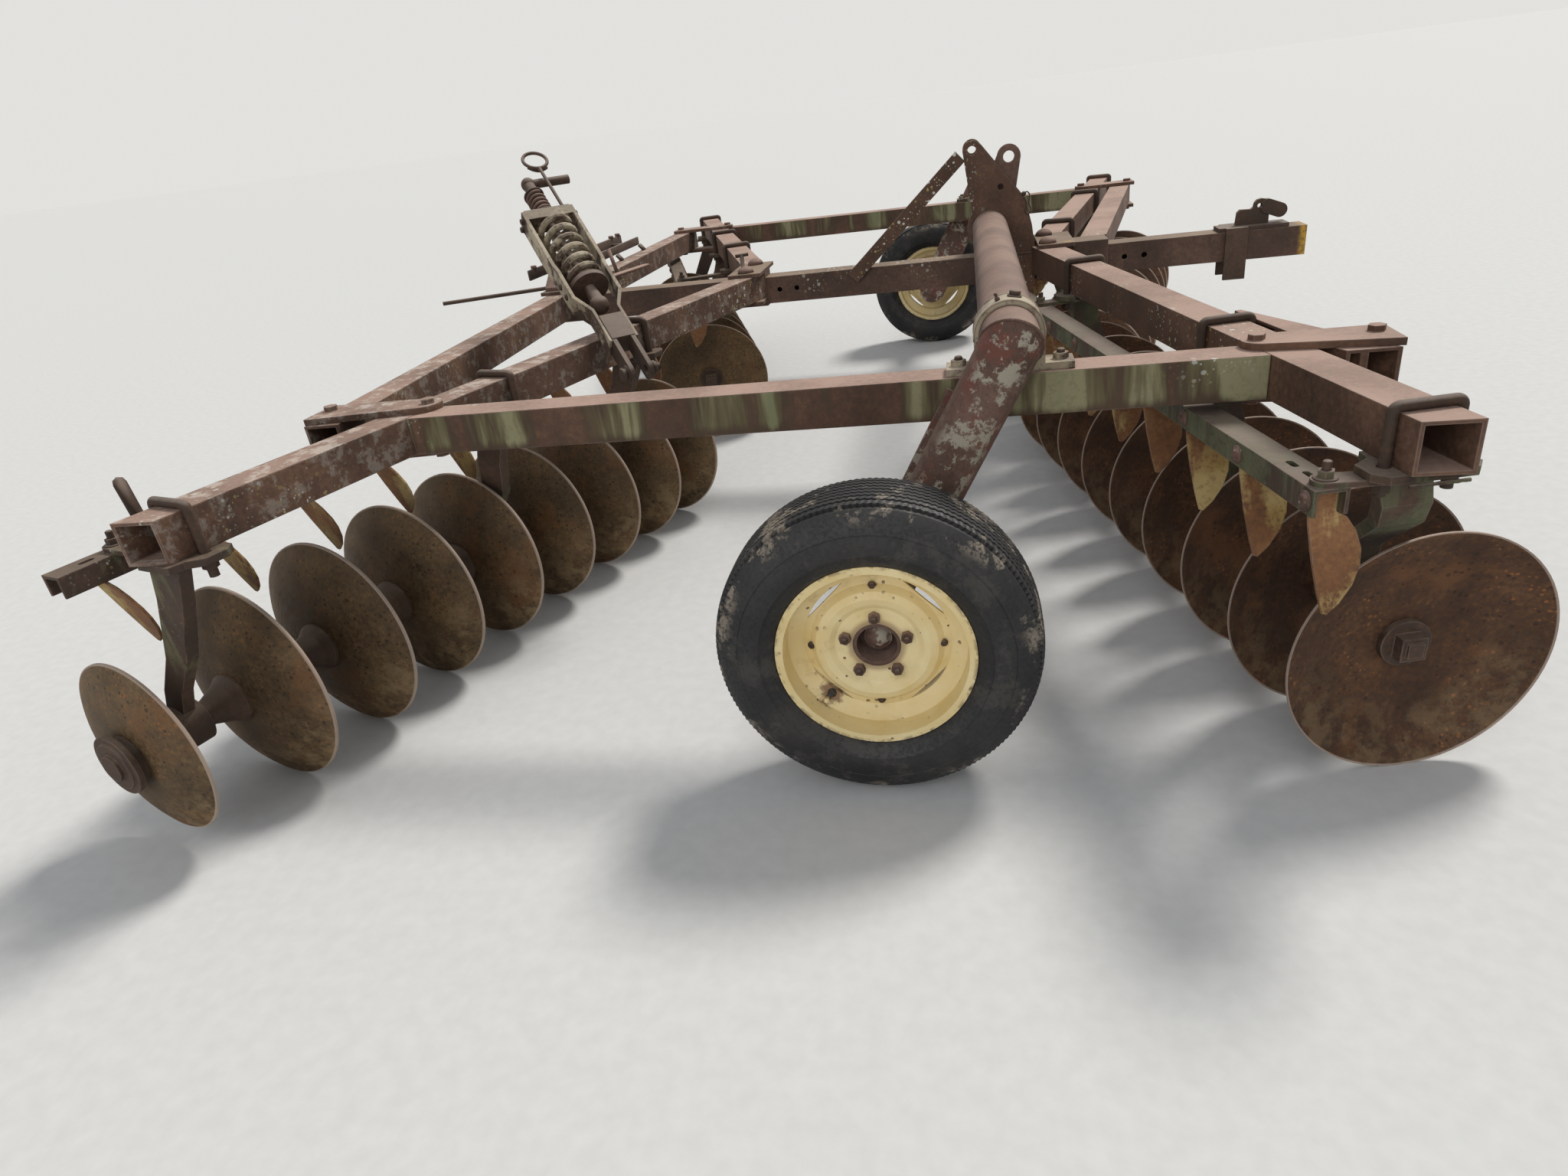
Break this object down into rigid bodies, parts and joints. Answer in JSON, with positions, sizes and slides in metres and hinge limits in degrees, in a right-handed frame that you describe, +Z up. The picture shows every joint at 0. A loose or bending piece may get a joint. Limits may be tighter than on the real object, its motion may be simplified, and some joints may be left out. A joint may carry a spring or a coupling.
{
  "type": "disc harrow",
  "caption": "Wheeled tandem disc harrow with an X of angled disc gangs under a square-tube frame, a rockshaft lift, a short mast, scrapers and a spring leveller.",
  "frame": {"origin": "centre of the footprint at ground level, where the discs and tyres rest", "axes": "+X forward, the way it is towed; +Y to the machine's left; +Z up"},
  "size_m": [2.959, 4.5236, 1.2137],
  "materials": {
    "frame_paint": "weathered red-brown paint, rusted",
    "centre_paint": "weathered dark brown paint, rusted",
    "green_paint": "faded green paint over rust",
    "rust_paint": "dull brown paint, rusted",
    "yellow_paint": "worn yellow paint",
    "disc_steel": "rusted steel, dull",
    "spool_iron": "rusted cast iron, dull",
    "cream_green": "faded cream green paint",
    "arm_paint": "flaking red-brown paint",
    "wheel_cream": "cream paint with rust stains",
    "tyre": "black, matte",
    "bare_rust": "rusted steel, dull"
  },
  "bodies": {
    "frame": {"rail_right": "frame_paint", "rail_left": "frame_paint", "centre_tube": "centre_paint", "front_cross": "frame_paint", "rear_cross": "frame_paint", "front_joint_box": "centre_paint", "front_corner_plates": "frame_paint", "rear_corner_plates": "frame_paint", "rear_joint_plates": "centre_paint", "front_sleeve": "centre_paint", "rear_sleeve": "centre_paint", "front_beam_right": "frame_paint", "front_beam_left": "frame_paint", "rear_beam_right": "frame_paint", "rear_beam_left": "frame_paint", "front_standards_right": "green_paint", "front_standards_left": "green_paint", "rear_standards_right": "rust_paint", "rear_standards_left": "rust_paint", "front_u_bolts": "bare_rust", "rear_u_bolts": "bare_rust", "front_scraper_bar_right": "green_paint", "front_scraper_bar_left": "green_paint", "rear_scraper_bar_right": "rust_paint", "rear_scraper_bar_left": "rust_paint", "front_blades_right": "yellow_paint", "front_blades_left": "yellow_paint", "rear_blades_right": "yellow_paint", "rear_blades_left": "yellow_paint", "shaft_straps": "cream_green", "mast": "centre_paint", "mast_brace": "centre_paint", "leveller_arms": "cream_green", "leveller_spring": "cream_green", "leveller_screw": "bare_rust", "leveller_clevis": "bare_rust", "hose_loop": "bare_rust", "front_bracket": "bare_rust", "rear_rod": "bare_rust"},
    "rockshaft": {"rockshaft": "arm_paint", "lift_lever": "arm_paint", "wheel_arm_right": "arm_paint", "wheel_arm_left": "arm_paint"},
    "wheel_right": {"hub_right": "arm_paint", "rim_right": "wheel_cream", "tyre_right": "tyre"},
    "wheel_left": {"hub_left": "arm_paint", "rim_left": "wheel_cream", "tyre_left": "tyre"},
    "gang_front_right": {"front_discs_right": "disc_steel", "front_spools_right": "spool_iron"},
    "gang_front_left": {"front_discs_left": "disc_steel", "front_spools_left": "spool_iron"},
    "gang_rear_right": {"rear_discs_right": "disc_steel", "rear_spools_right": "spool_iron"},
    "gang_rear_left": {"rear_discs_left": "disc_steel", "rear_spools_left": "spool_iron"}
  },
  "joints": [
    {"name": "lift", "type": "hinge", "parent": "frame", "child": "rockshaft", "pos_m": [0.49153, 0, 0.802], "axis": [0, 1, 0], "range_deg": [-20, 28]},
    {"name": "wheel_right_spin", "type": "hinge", "parent": "rockshaft", "child": "wheel_right", "pos_m": [0.22553, -1.922, 0.3105], "axis": [0, 1, 0], "continuous": true},
    {"name": "wheel_left_spin", "type": "hinge", "parent": "rockshaft", "child": "wheel_left", "pos_m": [0.22553, 1.922, 0.3105], "axis": [0, 1, 0], "continuous": true},
    {"name": "gang_front_right_roll", "type": "hinge", "parent": "frame", "child": "gang_front_right", "pos_m": [0.99702, -1.00858, 0.239], "axis": [0.2079, -0.9781, 0], "continuous": true},
    {"name": "gang_front_left_roll", "type": "hinge", "parent": "frame", "child": "gang_front_left", "pos_m": [0.99702, 1.00858, 0.239], "axis": [0.2079, 0.9781, 0], "continuous": true},
    {"name": "gang_rear_right_roll", "type": "hinge", "parent": "frame", "child": "gang_rear_right", "pos_m": [-0.95073, -1.28335, 0.239], "axis": [-0.309, -0.9511, 0], "continuous": true},
    {"name": "gang_rear_left_roll", "type": "hinge", "parent": "frame", "child": "gang_rear_left", "pos_m": [-0.95073, 1.28335, 0.239], "axis": [-0.309, 0.9511, 0], "continuous": true}
  ]
}
